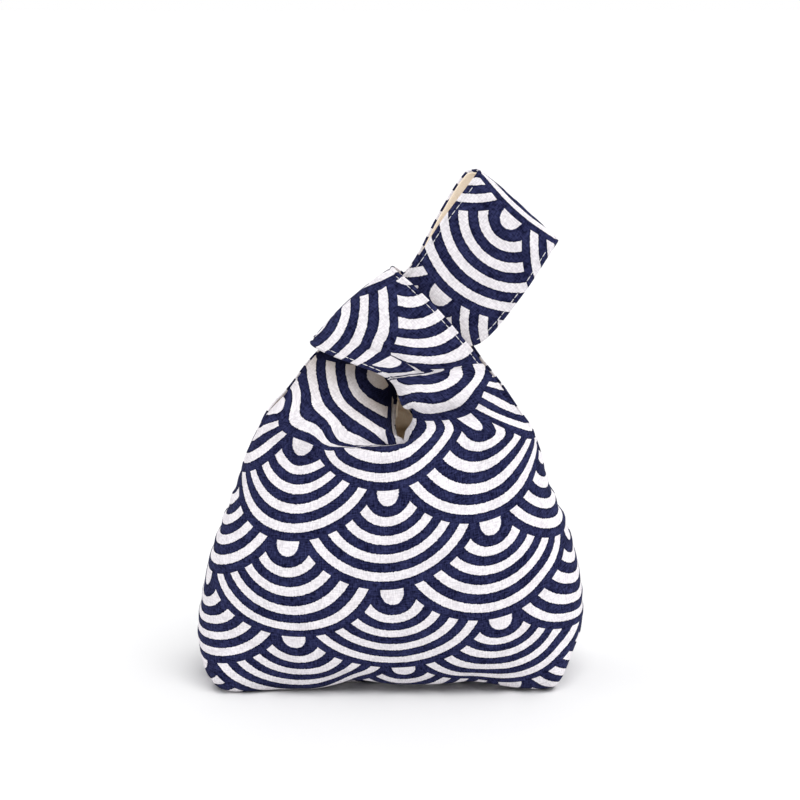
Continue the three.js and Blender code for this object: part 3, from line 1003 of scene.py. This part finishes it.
def uneven(place, across, up, detail=2):
    """Noise on the flat cloth, with features of the given sizes in millimetres."""
    mapping = place.tree.nodes.new("ShaderNodeMapping")
    feed(mapping.inputs["Scale"], (1 / (across * MM), 1 / (up * MM), 1))
    feed(mapping.inputs["Vector"], place)
    texture = place.tree.nodes.new("ShaderNodeTexNoise")
    feed(texture.inputs["Scale"], 1)
    feed(texture.inputs["Detail"], detail)
    feed(texture.inputs["Vector"], Value(place.tree, mapping.outputs["Vector"]))
    return Value(place.tree, texture.outputs["Fac"])


def weave(place, across, up, pitch):
    """Height of a plain weave with uneven threads, and how thick the threads are, about 0 to 1."""
    warp = (across * (math.pi / (pitch * MM))).calc("SINE")
    weft = (up * (math.pi / (pitch * MM))).calc("SINE")
    crossings = warp * weft * 0.5 + 0.5
    long, narrow = SLUB_LENGTH * pitch, SLUB_WIDTH * pitch
    thick = (uneven(place, long, narrow) + uneven(place, narrow, long)) * 0.5
    return thick * SLUB_HEIGHT + crossings * CROSSING_HEIGHT, thick


def cloth_bump(shader, height, depth):
    bump = height.tree.nodes.new("ShaderNodeBump")
    feed(bump.inputs["Strength"], 1)
    feed(bump.inputs["Distance"], depth * MM)
    feed(bump.inputs["Height"], height)
    feed(shader.inputs["Normal"], Value(height.tree, bump.outputs["Normal"]))


def wave_distance(across, up):
    """How far a point of the print is from the middle of the wave that shows there, in wave radii.

    Waves stand two radii apart in rows half a radius apart, each row set over by one radius, and a row lies
    over the rows below it. Near its middle a wave is drawn narrower."""
    lowest = (up * (1 / ROW_RISE)).calc("FLOOR")
    shown = beside = None
    for rows_up in range(ROWS_OVER):
        row = lowest + rows_up
        aside = (across - row % 2 + 1) % 2 - 1
        above = up - row * ROW_RISE
        away = (aside * aside + above * above).calc("SQRT")
        if shown is None:
            shown, beside = away, aside
        else:
            inside = away < 1
            shown = inside * (away - shown) + shown
            beside = inside * (aside - beside) + beside
    far = shown * (1 / PINCH_REACH)
    pinch = (far * far * -1).calc("EXPONENT")
    wider = beside * (pinch * PINCH + 1)
    return (shown * shown + wider * wider - beside * beside).calc("SQRT")


def wave_white(away):
    """1 where a wave is white and 0 where it is navy, and the distance to its ring's edges, in wave radii."""
    pair = NAVY_RING + WHITE_RING
    ring = (away - RINGS_FROM) * (1 / pair)
    turn = ring % 1
    white_rings = (turn > NAVY_RING / pair) * (ring < RINGS) * (ring > 0)
    white = white_rings.calc("MAXIMUM", away < HALF_DISC)
    from_white = (turn - NAVY_RING / pair).calc("ABSOLUTE")
    return white, turn.calc("MINIMUM", from_white) * pair


def printed_cloth():
    material, tree, shader = new_material("printed cotton and linen", PRINTED_FINISH)
    place, across, up = flat_cut_place(tree)
    height, thick = weave(place, across, up, THREAD_PITCH)
    away = wave_distance(across * (1 / (WAVE * MM)), up * (1 / (WAVE * MM)) + ROW_RISE)
    bleed = uneven(place, BLEED_SIZE, BLEED_SIZE) * BLEED - BLEED / 2
    white, from_edges = wave_white(away + bleed)
    tone = thick * (1 - PATCH_SHARE) + uneven(place, PATCH, PATCH, PATCH_DETAIL) * PATCH_SHARE
    ground = tone.within(*WHITE_RANGE).blend(WHITE_DARK, WHITE_LIGHT)
    pooled = from_edges.within(0, INK_EDGE / WAVE, INK_EDGE_TONE)
    ink = (tone.within(*NAVY_RANGE) * pooled).blend(NAVY_DARK, NAVY_LIGHT)
    # Painted shade: the print is darkened deep in the fold under the band, as if in shadow
    shade = tree.nodes.new("ShaderNodeAttribute")
    shade.attribute_name = "painted_fold_shade"
    painted_shade = white.blend(NAVY_PAINTED_SHADE, WHITE_PAINTED_SHADE)
    colour = Value(tree, shade.outputs["Fac"]).blend(white.blend(ink, ground), painted_shade)
    feed(shader.inputs["Base Color"], colour)
    cloth_bump(shader, height, PRINTED_DEPTH)
    return material


def lining_cloth():
    material, tree, shader = new_material("plain beige lining", LINING_FINISH)
    height, thick = weave(*flat_cut_place(tree), LINING_THREAD_PITCH)
    feed(shader.inputs["Base Color"], thick.within(*BEIGE_RANGE).blend(BEIGE_DARK, BEIGE_LIGHT))
    cloth_bump(shader, height, LINING_DEPTH)
    return material


def white_thread():
    material, tree, shader = new_material("white sewing thread", THREAD_FINISH)
    coords = tree.nodes.new("ShaderNodeTexCoord")
    texture = tree.nodes.new("ShaderNodeTexNoise")
    feed(texture.inputs["Scale"], THREAD_GRAIN)
    feed(texture.inputs["Vector"], Value(tree, coords.outputs["Object"]))
    fibres = Value(tree, texture.outputs["Fac"])
    feed(shader.inputs["Base Color"], fibres.blend(THREAD_DARK, THREAD_LIGHT))
    cloth_bump(shader, fibres, THREAD_DEPTH)
    return material


# Stage

def add_floor():
    bm = bmesh.new()
    bmesh.ops.create_grid(bm, x_segments=FLOOR_SQUARES, y_segments=FLOOR_SQUARES, size=FLOOR)
    pale_floor, _, _ = new_material("pale floor", FLOOR_FINISH)
    floor = new_piece("floor", bm, pale_floor)


def add_camera():
    data = bpy.data.cameras.new("camera")
    data.lens = VIEW_LENS
    data.sensor_width = VIEW_SENSOR
    camera = bpy.data.objects.new("camera", data)
    bpy.context.scene.collection.objects.link(camera)
    angle = math.radians(VIEW_HEIGHT_ANGLE)
    away = Vector((0, -math.cos(angle), math.sin(angle)))
    camera.location = (Vector(VIEW_TARGET) + away * VIEW_DISTANCE) * MM
    camera.rotation_euler = (math.pi / 2 - angle, 0, 0)
    bpy.context.scene.camera = camera


def add_broad_lamp():
    """A broad lamp above, in front and to the right."""
    data = bpy.data.lights.new("broad lamp", "SUN")
    data.energy = LAMP_LIGHT
    data.angle = math.radians(LAMP_ANGLE)
    lamp = bpy.data.objects.new("broad lamp", data)
    lamp.rotation_euler = Vector(LAMP_AIM).to_track_quat("-Z", "Y").to_euler()
    bpy.context.scene.collection.objects.link(lamp)


def add_room_light():
    """A white room, brighter on the left and right, behind the bag and in a low band round the horizon."""
    world = bpy.data.worlds.new("white room")
    world.use_nodes = True
    tree = world.node_tree
    coords = tree.nodes.new("ShaderNodeTexCoord")
    aside, behind, up = Value(tree, coords.outputs["Generated"]).parts()
    behind = behind.calc("MAXIMUM", 0)
    walls = behind * behind * BACK_LIGHT + (aside * aside * SIDE_LIGHT + ROOM_LIGHT)
    above_band = up.calc("ABSOLUTE").within(*HORIZON_BAND, kind="SMOOTHSTEP")
    feed(tree.nodes["Background"].inputs["Color"], above_band.blend((HORIZON_LIGHT,) * 3, walls))
    bpy.context.scene.world = world
    bpy.context.scene.view_settings.view_transform = "Standard"


# The bag

printed = printed_cloth()
lining = lining_cloth()
thread = white_thread()

for face_name in FACES:
    panel, strips, foot, skins = cloth_piece(face_name, "printed_cloth", printed)
    stitches = topstitching(face_name + "_topstitching", skins, strips, foot, thread)
    inside, _, _, _ = cloth_piece(face_name, "lining_cloth", lining)
    for piece, slot in ((panel, "printed_cloth"), (stitches, "printed_cloth"), (inside, "lining_cloth")):
        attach(piece, "root")
    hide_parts(face_name + "_panel")
    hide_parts(face_name + "_lining")

add_floor()
add_camera()
add_room_light()
add_broad_lamp()
